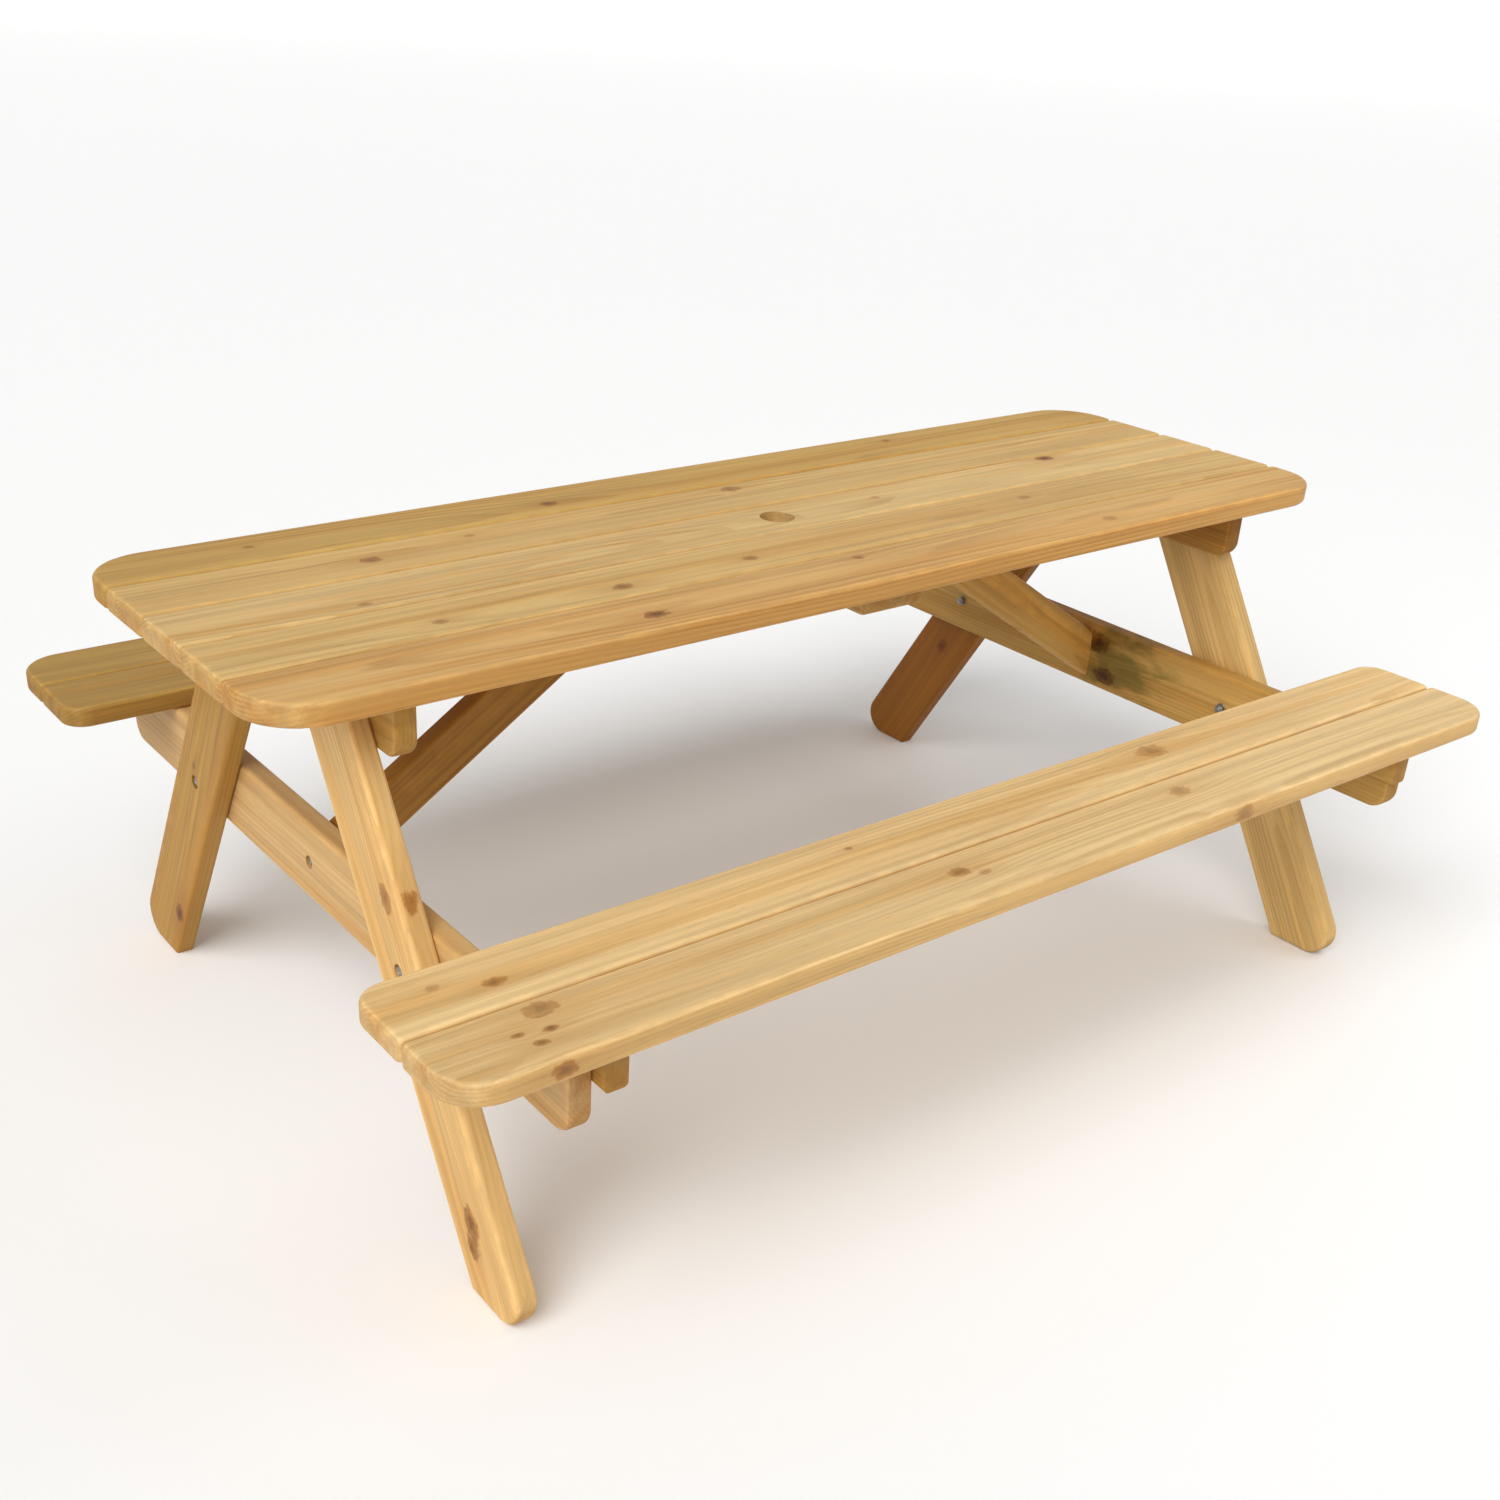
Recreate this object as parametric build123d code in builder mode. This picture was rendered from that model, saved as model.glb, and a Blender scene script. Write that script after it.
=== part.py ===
from build123d import *
from math import atan2, cos, hypot, sin
import os

# Rectangular timber picnic table: a five-board top, two bench seats and two A-frames.
# Millimetres. +X runs along the table, +Y across it to the rear seat, +Z up. The origin is on
# the ground under the middle of the tabletop. Left and right are the -X and +X ends, front is -Y.

# ---------------------------------------------------------------- driving dimensions

# timber
board_width = 110
board_thickness = 30
board_gap = 3
arris_radius = 6            # long edges are rounded over

# tabletop
top_length = 1800
top_height = 696
top_board_count = 5
top_corner_radius = 85
parasol_hole_radius = 25

# seats
seat_length = 1780
seat_height = 439
seat_inner_edge = 421       # from the table's centre line to the near edge of a seat
seat_inner_corner_radius = 35
seat_outer_corner_radius = 60
seam_corner_radius = 8      # small corners, where the ends of two boards meet

# A-frames
frame_outer_x = 767         # outer face of the legs
leg_top_y = 103             # a leg's centre line at the underside of the tabletop
leg_foot_y = 512            # and on the ground
toe_radius = 38
seat_bearer_length = 1210
seat_bearer_end_radius = 30
top_bearer_length = 500
top_bearer_depth = 76
top_bearer_end_radius = 25

# braces and battens
brace_width = 68
brace_head_x = 225          # middle of a brace's level cut, under the tabletop
seat_batten_depth = 50
seat_batten_length = 185

# M8 bolts
bolt_radius = 4
bolt_hole_radius = 4.25
bolt_sink_radius = 10
bolt_sink_depth = 9
bolt_hexagon_radius = 7.5   # to the corners
bolt_head_height = 5.5
nut_height = 6.8
bolt_beyond_nut = 2
washer_radius = 8.5
washer_thickness = 1.6

# coach screws in the feet of the braces
coach_screw_radius = 3
coach_screw_bite = 42       # length in the brace
coach_sink_radius = 9
coach_sink_depth = 7
coach_hexagon_radius = 5.8
coach_head_height = 4.5

# wood screws
screw_radius = 2.5
screw_bite = 20             # length in the board that a screw holds
long_screw_length = 60
short_screw_length = 45
screw_tip_length = 5
screw_tip_radius = 0.5
screw_head_radius = 5
screw_head_height = 3
screw_sink_radius = 6
centre_batten_screw_x = 42
seat_batten_screw_rows = (505, 560)

# ---------------------------------------------------------------- worked-out dimensions

SIDES = {"left": -1, "right": 1}
ENDS = {"front": -1, "rear": 1}

underside = top_height - board_thickness
bearer_outer_x = frame_outer_x - board_thickness
bearer_inner_x = bearer_outer_x - board_thickness
bearer_middle_x = (bearer_outer_x + bearer_inner_x) / 2
seat_batten_middle_x = bearer_inner_x - board_thickness / 2
board_pitch = board_width + board_gap
seat_bearer_top = seat_height - board_thickness
seat_bearer_middle_z = seat_bearer_top - board_width / 2
top_bearer_middle_z = underside - top_bearer_depth / 2
seat_batten_middle_z = seat_bearer_top - seat_batten_depth / 2
seat_rows = {
    "inner": seat_inner_edge + board_width / 2,
    "outer": seat_inner_edge + board_width / 2 + board_pitch,
}
seat_middle_y = sum(seat_rows.values()) / len(seat_rows)
top_rows = [(row - (top_board_count - 1) / 2) * board_pitch for row in range(top_board_count)]
middle_board = top_board_count // 2
top_screw_xs = (centre_batten_screw_x, bearer_middle_x)

# ---------------------------------------------------------------- joints between pieces
# Each is a plane where two pieces meet, with its normal pointing to the head of the fixing.


def joint_plane(x, y, z, towards_head):
    return Plane(origin=(x, y, z), z_dir=towards_head)


def leg_centre_y(height):
    """Distance of a leg's centre line from the middle of the table, at a height."""
    return leg_foot_y + (leg_top_y - leg_foot_y) * height / underside


def leg_joints(side, end, heights):
    """Where bolts pass from a leg into the bearers beside it."""
    return [
        joint_plane(side * bearer_outer_x, end * leg_centre_y(height), height, (side, 0, 0))
        for height in heights
    ]


def top_joints_at(x):
    """Where a row of screws, one for each board, passes up into the tabletop."""
    return [joint_plane(x, row, underside, (0, 0, -1)) for row in top_rows]


def centre_batten_joints():
    return top_joints_at(-centre_batten_screw_x) + top_joints_at(centre_batten_screw_x)


def brace_head_joint(side):
    return joint_plane(side * brace_head_x, 0, underside, (0, 0, -1))


def brace_foot_joint(side):
    return joint_plane(side * bearer_inner_x, 0, seat_bearer_middle_z, (side, 0, 0))


def seat_joint(side, end, row):
    """Where a screw passes up from a seat batten into a seat board."""
    return joint_plane(side * seat_batten_middle_x, end * row, seat_bearer_top, (0, 0, -1))


def seat_batten_joints(side, end):
    """Where screws pass from a seat batten into the seat bearer beside it."""
    return [
        joint_plane(side * bearer_inner_x, end * row, seat_batten_middle_z, (-side, 0, 0))
        for row in seat_batten_screw_rows
    ]


# ---------------------------------------------------------------- holes


def pilot_holes(joints):
    """Holes in the piece that wood screws bite into."""
    with Locations(*joints):
        Hole(radius=screw_radius, depth=screw_bite)


def sunk_screw_holes(joints, length):
    """Holes in the piece under the heads of wood screws, wide enough for the heads outside them."""
    grip = length - screw_bite
    with Locations(*[joint.offset(grip) for joint in joints]):
        CounterBoreHole(
            radius=screw_radius,
            counter_bore_radius=screw_sink_radius,
            counter_bore_depth=0,
            depth=grip,
        )


def bolt_holes(joints):
    with Locations(*joints):
        Hole(radius=bolt_hole_radius)


# ---------------------------------------------------------------- timber


def write(part, name):
    part.label = name
    export_step(part, f"parts/{name}.step")


def make_flat_board(name, length, middle_y, top, front_radius, rear_radius, joints, parasol_hole=False):
    """A lengthwise board lying flat, with its own corner radius on each long side."""
    with BuildPart() as board:
        with BuildSketch(Plane.XY.offset(top - board_thickness)) as outline:
            with Locations((0, middle_y)):
                Rectangle(length, board_width)
            fillet(outline.vertices().group_by(Axis.Y)[0], front_radius)
            fillet(outline.vertices().group_by(Axis.Y)[-1], rear_radius)
        extrude(amount=board_thickness)
        fillet(board.faces().filter_by(Axis.Z).edges(), arris_radius)
        if parasol_hole:
            with Locations((0, middle_y, top)):
                Hole(radius=parasol_hole_radius)
        pilot_holes(joints)
    write(board.part, name)


def make_leg(name, side, end):
    """A raked leg with level cuts at its top and foot and a round toe."""
    run = leg_foot_y - leg_top_y
    half_cut = board_width / 2 * hypot(run, underside) / underside
    inner_top, outer_top = leg_top_y - half_cut, leg_top_y + half_cut
    inner_foot, outer_foot = leg_foot_y - half_cut, leg_foot_y + half_cut
    corners = [(inner_top, underside), (outer_top, underside), (outer_foot, 0), (inner_foot, 0)]
    lower_x = min(side * frame_outer_x, side * bearer_outer_x)
    with BuildPart() as leg:
        with BuildSketch(Plane.YZ.offset(lower_x)) as outline:
            with BuildLine():
                Polyline([(end * across, height) for across, height in corners], close=True)
            make_face()
            toe = outline.vertices().sort_by_distance((end * outer_foot, 0))[0]
            fillet(toe, toe_radius)
        extrude(amount=board_thickness)
        side_edges = leg.faces().filter_by(Axis.X).edges()
        fillet(side_edges.filter_by(Axis.Y, reverse=True), arris_radius)
        joints = leg_joints(side, end, (seat_bearer_middle_z, top_bearer_middle_z))
        with Locations(*[joint.offset(board_thickness) for joint in joints]):
            CounterBoreHole(
                radius=bolt_hole_radius,
                counter_bore_radius=bolt_sink_radius,
                counter_bore_depth=bolt_sink_depth,
            )
    write(leg.part, name)


def bearer_outline(side, length, depth, top, end_radius):
    """The shape of a board on edge across the table, with its two lower ends rounded."""
    lower_x = min(side * bearer_outer_x, side * bearer_inner_x)
    with BuildSketch(Plane.YZ.offset(lower_x)) as outline:
        with Locations((0, top - depth / 2)):
            Rectangle(length, depth)
        fillet(outline.vertices().group_by(Axis.Y)[0], end_radius)
    return outline.sketch


def make_seat_bearer(name, side):
    outline = bearer_outline(side, seat_bearer_length, board_width, seat_bearer_top, seat_bearer_end_radius)
    with BuildPart() as bearer:
        extrude(outline, amount=board_thickness)
        fillet(bearer.faces().filter_by(Axis.X).edges(), arris_radius)
        for end in ENDS.values():
            bolt_holes(leg_joints(side, end, (seat_bearer_middle_z,)))
            pilot_holes(seat_batten_joints(side, end))
        with Locations(brace_foot_joint(side).offset(board_thickness)):
            CounterBoreHole(
                radius=coach_screw_radius,
                counter_bore_radius=coach_sink_radius,
                counter_bore_depth=coach_sink_depth,
            )
    write(bearer.part, name)


def make_top_bearer(name, side):
    outline = bearer_outline(side, top_bearer_length, top_bearer_depth, underside, top_bearer_end_radius)
    with BuildPart() as bearer:
        extrude(outline, amount=board_thickness)
        fillet(bearer.faces().filter_by(Axis.X).edges(), arris_radius)
        for end in ENDS.values():
            bolt_holes(leg_joints(side, end, (top_bearer_middle_z,)))
        sunk_screw_holes(top_joints_at(side * bearer_middle_x), long_screw_length)
    write(bearer.part, name)


def make_centre_batten():
    """A board lying flat across the underside of the tabletop, round the parasol hole."""
    with BuildPart() as batten:
        with BuildSketch(Plane.XY.offset(underside - board_thickness)) as outline:
            Rectangle(board_width, top_bearer_length)
            fillet(outline.vertices(), seam_corner_radius)
        extrude(amount=board_thickness)
        fillet(batten.faces().filter_by(Axis.Z).edges(), arris_radius)
        with Locations((0, 0, underside)):
            Hole(radius=parasol_hole_radius)
        sunk_screw_holes(centre_batten_joints(), short_screw_length)
    write(batten.part, "centre_batten")


def make_brace(name, side):
    """A board on edge, cut upright against the seat bearer and level under the tabletop."""
    slope = atan2(underside - seat_bearer_middle_z, bearer_inner_x - brace_head_x)
    half_foot = brace_width / 2 / cos(slope)
    half_head = brace_width / 2 / sin(slope)
    corners = [
        (bearer_inner_x, seat_bearer_middle_z - half_foot),
        (bearer_inner_x, seat_bearer_middle_z + half_foot),
        (brace_head_x + half_head, underside),
        (brace_head_x - half_head, underside),
    ]
    with BuildPart() as brace:
        with BuildSketch(Plane.XZ):
            with BuildLine():
                Polyline([(side * along, height) for along, height in corners], close=True)
            make_face()
        extrude(amount=board_thickness / 2, both=True)
        side_edges = brace.faces().filter_by(Axis.Y).edges()
        long_edges = side_edges.filter_by(Axis.X, reverse=True).filter_by(Axis.Z, reverse=True)
        fillet(long_edges, arris_radius)
        sunk_screw_holes([brace_head_joint(side)], short_screw_length)
        with Locations(brace_foot_joint(side)):
            Hole(radius=coach_screw_radius, depth=coach_screw_bite)
    write(brace.part, name)


def make_seat_batten(name, side, end):
    """A batten on edge beside the seat bearer, which ties the two boards of a seat together."""
    middle = (side * seat_batten_middle_x, end * seat_middle_y, seat_batten_middle_z)
    with BuildPart() as batten:
        with Locations(middle):
            Box(board_thickness, seat_batten_length, seat_batten_depth)
        fillet(batten.edges().filter_by(Axis.Y), arris_radius)
        sunk_screw_holes([seat_joint(side, end, row) for row in seat_rows.values()], long_screw_length)
        sunk_screw_holes(seat_batten_joints(side, end), short_screw_length)
    write(batten.part, name)


# ---------------------------------------------------------------- fixings


def make_wood_screws(name, joints, length):
    """Wood screws in one node, as separate solids."""
    heads = [joint.offset(length - screw_bite) for joint in joints]
    shank_length = length - screw_tip_length
    with BuildPart() as screws:
        with Locations(*heads):
            Cylinder(screw_head_radius, screw_head_height, align=(Align.CENTER, Align.CENTER, Align.MIN))
            Cylinder(screw_radius, shank_length, align=(Align.CENTER, Align.CENTER, Align.MAX))
        with Locations(*[head.offset(-shank_length) for head in heads]):
            Cone(
                bottom_radius=screw_tip_radius,
                top_radius=screw_radius,
                height=screw_tip_length,
                align=(Align.CENTER, Align.CENTER, Align.MAX),
            )
    write(screws.part, name)


def make_coach_screws():
    """Hexagon-headed screws through the seat bearers into the feet of the braces."""
    grip = board_thickness - coach_sink_depth
    shank_length = grip + coach_screw_bite - screw_tip_length
    heads = [brace_foot_joint(side).offset(grip) for side in SIDES.values()]
    with BuildPart() as screws:
        with BuildSketch(*heads):
            RegularPolygon(coach_hexagon_radius, 6)
        extrude(amount=coach_head_height)
        with BuildSketch(*heads):
            Circle(coach_screw_radius)
        extrude(amount=-shank_length)
        with Locations(*[head.offset(-shank_length) for head in heads]):
            Cone(
                bottom_radius=screw_tip_radius,
                top_radius=coach_screw_radius,
                height=screw_tip_length,
                align=(Align.CENTER, Align.CENTER, Align.MAX),
            )
    write(screws.part, "brace_screws")


def make_bolts(joints):
    """Bolts whose heads are sunk in the legs, with a washer at each end and a nut inside the frame."""
    head_washers = [joint.offset(board_thickness - bolt_sink_depth) for joint in joints]
    nut_washers = [joint.offset(-board_thickness - washer_thickness) for joint in joints]
    heads = [plane.offset(washer_thickness) for plane in head_washers]
    nuts = [plane.offset(-nut_height) for plane in nut_washers]
    bolt_length = 2 * board_thickness - bolt_sink_depth + 2 * washer_thickness + nut_height + bolt_beyond_nut

    with BuildPart() as bolts:
        with BuildSketch(*heads):
            RegularPolygon(bolt_hexagon_radius, 6)
        extrude(amount=bolt_head_height)
        with BuildSketch(*heads):
            Circle(bolt_radius)
        extrude(amount=-bolt_length)
    write(bolts.part, "leg_bolts")

    with BuildPart() as washers:
        with BuildSketch(*head_washers, *nut_washers):
            Circle(washer_radius)
            Circle(bolt_hole_radius, mode=Mode.SUBTRACT)
        extrude(amount=washer_thickness)
    write(washers.part, "leg_bolt_washers")

    with BuildPart() as bolt_nuts:
        with BuildSketch(*nuts):
            RegularPolygon(bolt_hexagon_radius, 6)
            Circle(bolt_radius, mode=Mode.SUBTRACT)
        extrude(amount=nut_height)
    write(bolt_nuts.part, "leg_bolt_nuts")


# ---------------------------------------------------------------- the table

os.makedirs("parts", exist_ok=True)

for row, middle_y in enumerate(top_rows):
    screw_rows = [top_joints_at(side * x) for side in SIDES.values() for x in top_screw_xs]
    joints = [screw_row[row] for screw_row in screw_rows]
    if row == middle_board:
        joints += [brace_head_joint(side) for side in SIDES.values()]
    make_flat_board(
        f"tabletop_board_{row + 1}",
        top_length,
        middle_y,
        top_height,
        top_corner_radius if row == 0 else seam_corner_radius,
        top_corner_radius if row == top_board_count - 1 else seam_corner_radius,
        joints,
        parasol_hole=row == middle_board,
    )

for end_name, end in ENDS.items():
    for row_name, middle_y in seat_rows.items():
        radii = [seam_corner_radius, seat_outer_corner_radius]
        if row_name == "inner":
            radii = [seat_inner_corner_radius, seam_corner_radius]
        if end_name == "front":
            radii.reverse()
        make_flat_board(
            f"{end_name}_seat_{row_name}_board",
            seat_length,
            end * middle_y,
            seat_height,
            *radii,
            [seat_joint(side, end, middle_y) for side in SIDES.values()],
        )

for side_name, side in SIDES.items():
    make_seat_bearer(f"{side_name}_seat_bearer", side)
    make_top_bearer(f"{side_name}_top_bearer", side)
    make_brace(f"{side_name}_brace", side)
    for end_name, end in ENDS.items():
        make_leg(f"{end_name}_{side_name}_leg", side, end)
        make_seat_batten(f"{end_name}_{side_name}_seat_batten", side, end)

make_centre_batten()

frame_corners = [(side, end) for side in SIDES.values() for end in ENDS.values()]
make_bolts(
    [
        joint
        for side, end in frame_corners
        for joint in leg_joints(side, end, (seat_bearer_middle_z, top_bearer_middle_z))
    ]
)
make_coach_screws()
make_wood_screws(
    "top_bearer_screws",
    [joint for side in SIDES.values() for joint in top_joints_at(side * bearer_middle_x)],
    long_screw_length,
)
make_wood_screws("centre_batten_screws", centre_batten_joints(), short_screw_length)
make_wood_screws("brace_head_screws", [brace_head_joint(side) for side in SIDES.values()], short_screw_length)
make_wood_screws(
    "seat_screws",
    [seat_joint(side, end, row) for side, end in frame_corners for row in seat_rows.values()],
    long_screw_length,
)
make_wood_screws(
    "seat_batten_screws",
    [joint for side, end in frame_corners for joint in seat_batten_joints(side, end)],
    short_screw_length,
)
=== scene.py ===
import math
import random

import bmesh
import bpy
from mathutils import Euler, Matrix, Vector


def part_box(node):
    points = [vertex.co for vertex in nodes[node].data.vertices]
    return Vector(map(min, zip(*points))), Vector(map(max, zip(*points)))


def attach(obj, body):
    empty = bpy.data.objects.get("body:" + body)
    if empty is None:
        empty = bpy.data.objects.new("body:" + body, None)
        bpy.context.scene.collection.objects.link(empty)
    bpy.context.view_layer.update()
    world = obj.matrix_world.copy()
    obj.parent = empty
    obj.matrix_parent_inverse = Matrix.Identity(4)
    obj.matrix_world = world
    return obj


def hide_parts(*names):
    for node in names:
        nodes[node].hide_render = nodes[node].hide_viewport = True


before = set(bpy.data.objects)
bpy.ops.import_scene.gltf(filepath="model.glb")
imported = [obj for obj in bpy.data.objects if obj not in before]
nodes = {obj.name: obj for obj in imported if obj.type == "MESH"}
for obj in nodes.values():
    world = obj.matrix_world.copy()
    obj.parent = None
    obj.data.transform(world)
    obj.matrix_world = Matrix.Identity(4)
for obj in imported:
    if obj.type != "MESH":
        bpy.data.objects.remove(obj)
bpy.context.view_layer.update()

# The looks of a timber picnic table: planed, pressure-treated pine and zinc-plated fixings.
# Metres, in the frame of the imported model: +X along the table, -Y to the front seat, +Z up.

# ---------------------------------------------------------------- view and light

CAMERA_PLACE = Vector((-1.537, -1.827, 1.413))
CAMERA_HEADING = math.radians(51.89)    # of the line of sight, from +X towards +Y
CAMERA_DIP = math.radians(26.67)        # below level
CAMERA_ROLL = math.radians(2.76)
CAMERA_SENSOR = 36                      # mm wide
CAMERA_LENS = 41.7                      # mm
CAMERA_SHIFT = (0.0302, 0.0456)

KEY_HEADING = math.radians(25)          # where the key light comes from, from -X towards -Y
KEY_HEIGHT = math.radians(42)           # above level
KEY_STRENGTH = 2.4
KEY_SPREAD = math.radians(50)           # a wide source, for soft shadows
SIDE_PLACE = (1.7, -1.4, 2.3)           # a small lamp over the right end of the front seat
SIDE_TARGET = (0.95, -0.55, 0.44)
SIDE_SIZE = 0.9
SIDE_POWER = 8
WORLD_STRENGTH = 0.50
FLOOR_COLOUR = (0.93, 0.93, 0.925)
FLOOR_ROUGHNESS = 0.9
FLOOR_GLOSS = 0.1
FLOOR_RADIUS = 30                       # the floor is level this far out
SWEEP_RADIUS = 7                        # and curves up to a wall beyond
SWEEP_STEPS = 24

# ---------------------------------------------------------------- pine

EARLYWOOD = (0.600, 0.408, 0.182)
LATEWOOD = (0.430, 0.248, 0.086)
RESIN = (0.420, 0.215, 0.066)
KNOT_MIDDLE = (0.130, 0.045, 0.008)
KNOT_EDGE = (0.310, 0.130, 0.024)
KNOT_BARK = (0.080, 0.030, 0.007)
HEARTWOOD = (0.930, 0.810, 0.620)       # multiplies the colour in broad bands
SIDE_PAINTED_SHADE = (0.900, 0.800, 0.640)       # painted shade: multiplies the colour of a board's long side faces, darker than the tops as if they caught less light
END_GRAIN = (0.800, 0.740, 0.680)       # multiplies the colour of the ends
WORN_ARRIS_AND_HIGHLIGHT = (1.130, 1.120, 1.100)      # multiplies the colour along rubbed edges: partly wear, partly a painted highlight on the arrises
TREATMENT = (0.430, 0.520, 0.360)       # multiplies the colour where preservative has pooled
RING_SPACING = 0.0052

# How quickly each kind of mark changes: along, across and through a board, per metre.
PITH_WANDER = (0.9, 2.5, 2.5)
RING_RIPPLE = (6.0, 24.0, 24.0)
RING_WIDTHS = (0.0, 38.0, 38.0)
PATCHES = (2.0, 22.0, 22.0)
FIBRES = (9.0, 620.0, 620.0)
STREAKS = (1.3, 70.0, 70.0)
BANDS = (0.8, 26.0, 26.0)
CLOUDS = (1.5, 7.0, 7.0)
RESIN_DUCTS = (34.0, 1100.0, 1100.0)
RUBBED_PLACES = (30.0, 60.0, 60.0)
STAIN_OUTLINE = (16.0, 40.0, 40.0)
KNOT_OUTLINE = (110.0, 130.0, 130.0)
ACROSS_GRAIN = (0.0, 1.0, 1.0)          # keeps only what lies across the grain
MIDDLE_GREY = (0.5, 0.5, 0.5)           # the average colour of a noise
WANDER_SIZE = (0.0, 0.075, 0.05)        # how far the pith strays, in metres
RIPPLE_SIZE = (0.0, 0.0035, 0.0035)
SEED_SHIFT = (7.3, 3.1, 5.7)            # moves each board to wood of its own
WEAR_BEGINS = 0.010                     # this far in from an edge
WEAR_FULL = 0.003
STAIN_SHAPE = (0.6, 1.0, 1.0)           # longer along the grain than across it
SMALLEST_STAIN = 0.001                  # keeps a timber without a stain from dividing by nothing
GRAIN_RELIEF = 0.0005
GRAIN_STRENGTH = 0.45
PINE_GLOSS = 0.25

# Ranges: the first two numbers are the values of a mark between which something changes. The last
# two, where they are given, are what it changes from and to; otherwise it goes from 0 to 1.
LATEWOOD_GROWS = (0.25, 0.90)           # as a share of the year
LATEWOOD_STOPS = (0.99, 0.91)
LATEWOOD_PATCHES = (0.30, 0.70, 0.15, 1.0)
RESIN_AMOUNT = (0.40, 0.72, 0.0, 0.28)
HEARTWOOD_AMOUNT = (0.46, 0.70, 0.0, 0.85)
STREAK_TONE = (0.28, 0.72, 0.87, 1.10)
FIBRE_TONE = (0.25, 0.75, 0.94, 1.05)
FIBRE_ROUGHNESS = (0.2, 0.8, 0.50, 0.64)
DUCT_TONE = (0.70, 0.80, 1.0, 0.82)
FACING_AN_END = (0.45, 0.80)
FACING_A_SIDE = (0.72, 0.97)
RUBBED_RANGE = (0.35, 0.65)
STAIN_EDGE = (0.0, 0.35)
KNOT_DARK_TO_LIGHT = (0.15, 0.85)       # in knot radii
KNOT_RIM = (0.70, 0.95)
KNOT_FADES = (1.20, 0.80)
BARK_PATCHES = (0.48, 0.56)

BARK_AMOUNT = 0.7
RESIN_ROUND_KNOTS = 0.60
END_ROUGHER = 0.18                      # added to the roughness
KNOT_ROUGHER = -0.05
WORN_ROUGHER = -0.06
LATEWOOD_HEIGHT = 0.45                  # added to the height of the grain
KNOT_HEIGHT = 0.6

# A knot's shape: its own wood, and the longer stretch of grain that bends round it.
KNOT_SHAPE = (0.66, 1.0, 1.0)
KNOT_UNEVENNESS = 1.1
SWIRL_SHAPE = (0.28, 1.0, 1.0)
SWIRL_RADIUS = 1.6                      # over the knot's own
SWIRL_PULL = (0.0, -0.9, -0.9)          # towards the knot's middle, across the grain
NO_KNOT_RATIO = 9.0                     # far outside any knot, in knot radii


class Graph:
    """Adds nodes to a node tree. Every input may be a socket or a plain value."""

    def __init__(self, tree):
        self.tree = tree

    def node(self, kind, inputs=(), **settings):
        node = self.tree.nodes.new(kind)
        for name, value in settings.items():
            setattr(node, name, value)
        for socket, value in dict(inputs).items():
            self.set(node.inputs[socket], value)
        return node

    def set(self, socket, value):
        """Links another socket to this one, or sets its value."""
        if isinstance(value, bpy.types.NodeSocket):
            self.tree.links.new(value, socket)
        elif socket.type == "RGBA":
            socket.default_value = (*value, 1.0)
        else:
            socket.default_value = value

    def math(self, operation, *values):
        node = self.node("ShaderNodeMath", enumerate(values), operation=operation)
        return node.outputs[0]

    def vector(self, operation, *values):
        node = self.node("ShaderNodeVectorMath", enumerate(values), operation=operation)
        return node.outputs["Value" if operation in ("LENGTH", "DOT_PRODUCT") else "Vector"]

    def scaled(self, vector, factor):
        """A vector or colour, times a number."""
        node = self.node("ShaderNodeVectorMath", {"Vector": vector, "Scale": factor}, operation="SCALE")
        return node.outputs["Vector"]

    def split(self, vector):
        return self.node("ShaderNodeSeparateXYZ", {0: vector}).outputs

    def noise(self, place, stretch, detail=2.0, roughness=0.5, output="Fac"):
        """A noise that changes as quickly in each direction as stretch says."""
        stretched = self.vector("MULTIPLY", place, stretch)
        inputs = {"Vector": stretched, "Scale": 1.0, "Detail": detail, "Roughness": roughness}
        return self.node("ShaderNodeTexNoise", inputs).outputs[output]

    def ramp(self, value, low, high, to_low=0.0, to_high=1.0):
        """Smoothly from to_low where value is low, to to_high where it is high."""
        inputs = {"Value": value, "From Min": low, "From Max": high, "To Min": to_low, "To Max": to_high}
        return self.node("ShaderNodeMapRange", inputs, interpolation_type="SMOOTHSTEP").outputs[0]

    def mix(self, amount, first, second, blend="MIX"):
        """From the first colour, where amount is 0, to the second, or to the two blended."""
        node = self.node("ShaderNodeMix", data_type="RGBA", blend_type=blend)
        colours = [socket for socket in node.inputs if socket.type == "RGBA"]
        self.set(node.inputs["Factor"], amount)
        self.set(colours[0], first)
        self.set(colours[1], second)
        return [socket for socket in node.outputs if socket.type == "RGBA"][0]


VECTOR = "NodeSocketVector"
NUMBER = "NodeSocketFloat"
COLOUR = "NodeSocketColor"


def new_group(name, inputs, outputs):
    """An empty node group. Returns its graph, the sockets of its inputs and its output node."""
    tree = bpy.data.node_groups.new(name, "ShaderNodeTree")
    for label, kind in inputs:
        tree.interface.new_socket(label, in_out="INPUT", socket_type=kind)
    for label, kind in outputs:
        tree.interface.new_socket(label, in_out="OUTPUT", socket_type=kind)
    return Graph(tree), tree.nodes.new("NodeGroupInput").outputs, tree.nodes.new("NodeGroupOutput").inputs


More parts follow.
